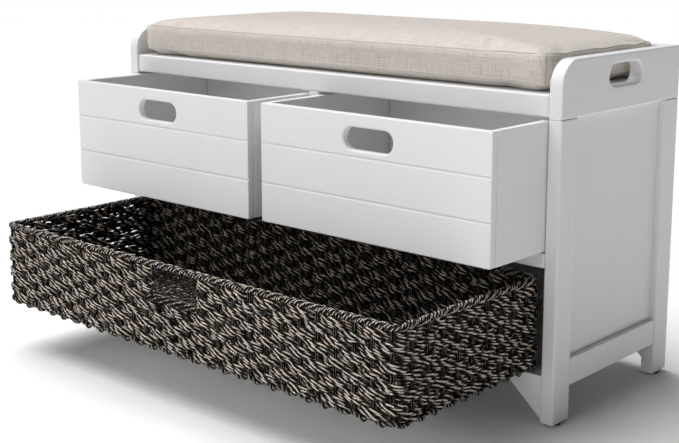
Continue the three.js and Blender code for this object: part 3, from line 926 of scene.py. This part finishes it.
def linen():
    """Two crossing sets of threads. Each has its own slubs: noise drawn out along the thread."""
    material, tree, shader = new_material("linen_cover")
    where = add(tree, "UVMap", uv_map="cloth").outputs["UV"]
    split = add(tree, "SeparateXYZ", {0: where})
    per_metre = 2 * math.pi / thread_pitch
    warp = maths(tree, "SINE", maths(tree, "MULTIPLY", split.outputs["X"], per_metre))
    weft = maths(tree, "SINE", maths(tree, "MULTIPLY", split.outputs["Y"], per_metre))
    over = maths(tree, "MULTIPLY_ADD", maths(tree, "MULTIPLY", warp, weft), 0.5, 0.5)
    long_slubs = noise(tree, stretched(tree, where, (34.0, 620.0, 1.0)), 1.0, 2.0, 0.6)
    cross_slubs = noise(tree, stretched(tree, where, (620.0, 34.0, 1.0)), 1.0, 2.0, 0.6)
    cloud = noise(tree, where, 22.0, 3.0)
    mottle = blend_colours(tree, 0.5, ramp(tree, long_slubs, [(0.35, 0.0), (0.65, 1.0)]),
                           ramp(tree, cross_slubs, [(0.35, 0.0), (0.65, 1.0)]))
    tone = maths(tree, "MULTIPLY_ADD", cloud, 0.3, maths(tree, "MULTIPLY", mottle, 0.85))
    colour = ramp(tree, tone, [(0.0, warp_dark), (0.4, (0.66, 0.595, 0.54)), (1.0, warp_light)])
    tree.links.new(colour, shader.inputs["Base Color"])
    tree.links.new(ramp(tree, cloud, [(0.3, 0.82), (0.7, 0.92)]), shader.inputs["Roughness"])
    relief = maths(tree, "MULTIPLY_ADD", over, 0.5, mottle)
    tree.links.new(bump(tree, relief, 0.0005, 0.7), shader.inputs["Normal"])
    shader.inputs["Specular IOR Level"].default_value = 0.25
    shader.inputs["Sheen Weight"].default_value = 0.5
    shader.inputs["Sheen Roughness"].default_value = 0.5
    return material


linen_cloth = linen()
lay_cloth(pad)
pad.data.materials.clear()
pad.data.materials.append(linen_cloth)
smooth = pad.modifiers.new("smooth", "SUBSURF")
smooth.levels = 1
smooth.render_levels = 1
apply_modifiers(pad)
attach(pad, "cushion")
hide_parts("seat_cushion")
print("pad faces:", len(pad.data.polygons))

# %% [markdown]
# ## Seams and stitches
# Where the top panel meets the band, the turned-in edges make a soft welt all the way round, and
# another runs up each corner of the band. The stitches are short bright dashes of thread, each a
# little spindle half sunk into the cloth. One row runs round below the welt, one round near the
# bottom, and one goes up on either side of each corner seam. Seams and stitches follow the
# swollen surface, so each point of their paths is moved to the nearest place on the pad.

# %% Seams
surface = BVHTree.FromPolygons(
    [tuple(p) for p in points_of(pad.data)], [tuple(f.vertices) for f in pad.data.polygons]
)


def on_surface(guide, lift):
    """Each guide point's nearest place on the pad, raised by the lift along the normal."""
    places = [surface.find_nearest(tuple(point))[:2] for point in guide]
    spots = np.array([tuple(place) for place, _ in places])
    normals = np.array([tuple(normal) for _, normal in places])
    return spots + lift * normals, normals


ring_corner = 0.02


def plan_ring(inset, height, step):
    """Evenly spaced points round the cushion in plan: a rounded rectangle."""
    half = cushion_half - inset
    radius = ring_corner
    turn = np.linspace(0, np.pi / 2, 9)
    corners = []
    for k, (sx, sy) in enumerate([(1, -1), (1, 1), (-1, 1), (-1, -1)]):
        angle = turn + (k - 1) * np.pi / 2
        middle = np.array([sx, sy]) * (half - radius)
        corners.append(middle + radius * np.stack([np.cos(angle), np.sin(angle)], 1))
    outline = np.concatenate(corners + [corners[0][:1]])
    travelled = np.concatenate([[0], np.cumsum(np.linalg.norm(np.diff(outline, axis=0), axis=1))])
    even = np.arange(int(travelled[-1] / step)) * step
    xy = np.stack([np.interp(even, travelled, outline[:, k]) for k in range(2)], axis=1)
    return np.column_stack([xy + cushion_middle[:2], np.full(len(even), height)])


def smoothed(path, rounds=3):
    """A closed path with each point drawn to the mean of its neighbours, some rounds over."""
    for _ in range(rounds):
        path = (np.roll(path, 1, 0) + 2 * path + np.roll(path, -1, 0)) / 4
    return path


welt_radius = 0.0013
welt_inset = 0.003
welt_step = 0.005
welt_sink = 0.0002
corner_inset = 0.008
corner_rings = 12
corner_radius = 0.0017
corner_lift = 0.0003
untwisted = 9
welt_path, welt_out = on_surface(plan_ring(welt_inset, seam_height, welt_step), -welt_sink)
welts = [cord(smoothed(welt_path), welt_out, welt_radius, turn_length=untwisted, tone=0.5)]
for sx in (-1, 1):
    for sy in (-1, 1):
        foot = cushion_middle[:2] + (cushion_half - corner_inset) * (sx, sy)
        rise = np.linspace(cushion_low[2] + 0.003, seam_height - 0.002, corner_rings)
        guide = np.column_stack([np.tile(foot, (corner_rings, 1)), rise])
        path, out = on_surface(guide, corner_lift)
        welts.append(cord(path, out, corner_radius, turn_length=untwisted, closed=False, tone=0.5))
seams = cord_piece("cushion_seams", welts, linen_cloth)
seams.data.uv_layers["cord"].name = "cloth"
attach(seams, "cushion")

# %% Stitches
stitch_length = 0.0042
stitch_radius = 0.0008
stitch_lift = 0.0003
stitch_pitch = 0.0062
stitch_below_welt = 0.0055
stitch_above_bottom = 0.014


def spindles(path, out, length, radius):
    """A four-sided spindle at each point: two ends on the path's tangent and a ring between."""
    tangent = np.roll(path, -1, 0) - np.roll(path, 1, 0)
    tangent /= np.linalg.norm(tangent, axis=1, keepdims=True)
    side = np.cross(tangent, out)
    ring = [path + radius * v for v in (out, side, -out, -side)]
    front, back = path + tangent * length / 2, path - tangent * length / 2
    points = np.stack([front, *ring, back], axis=1).reshape(-1, 3)
    faces = []
    for k in range(4):
        a, b = 1 + k, 1 + (k + 1) % 4
        faces += [(0, b, a), (5, a, b)]
    faces = (np.arange(len(path))[:, None, None] * 6 + np.array(faces)).reshape(-1, 3)
    return points, faces


def stitch_thread():
    """Pale cotton thread, a little uneven."""
    material, tree, shader = new_material("stitch_thread")
    fleck = noise(tree, add(tree, "TexCoord").outputs["Object"], 700.0)
    colour = ramp(tree, fleck, [(0.3, (0.84, 0.80, 0.75)), (0.7, (0.93, 0.91, 0.87))])
    tree.links.new(colour, shader.inputs["Base Color"])
    tree.links.new(ramp(tree, fleck, [(0.3, 0.7), (0.7, 0.85)]), shader.inputs["Roughness"])
    return material


guides = [
    plan_ring(welt_inset, height, stitch_pitch)
    for height in (seam_height - stitch_below_welt, cushion_low[2] + stitch_above_bottom)
]
for sx in (-1, 1):
    for sy in (-1, 1):
        for inset in ((0.002, 0.013), (0.013, 0.002)):
            foot = cushion_middle[:2] + (cushion_half - inset) * (sx, sy)
            rise = np.arange(cushion_low[2] + 0.010, seam_height - 0.008, stitch_pitch)
            guides.append(np.column_stack([np.tile(foot, (len(rise), 1)), rise]))
stitch_points, stitch_faces = [], []
for guide in guides:
    path, out = on_surface(guide, stitch_lift)
    points, faces = spindles(path, out, stitch_length, stitch_radius)
    stitch_faces.append(faces + sum(len(p) for p in stitch_points))
    stitch_points.append(points)
stitch_mesh = bpy.data.meshes.new("cushion_stitches")
stitch_mesh.from_pydata(
    np.concatenate(stitch_points).tolist(), [], np.concatenate(stitch_faces).tolist()
)
stitch_mesh.materials.append(stitch_thread())
stitches = bpy.data.objects.new("cushion_stitches", stitch_mesh)
bpy.context.scene.collection.objects.link(stitches)
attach(stitches, "cushion")
print("stitches:", len(stitch_mesh.polygons) // 8)
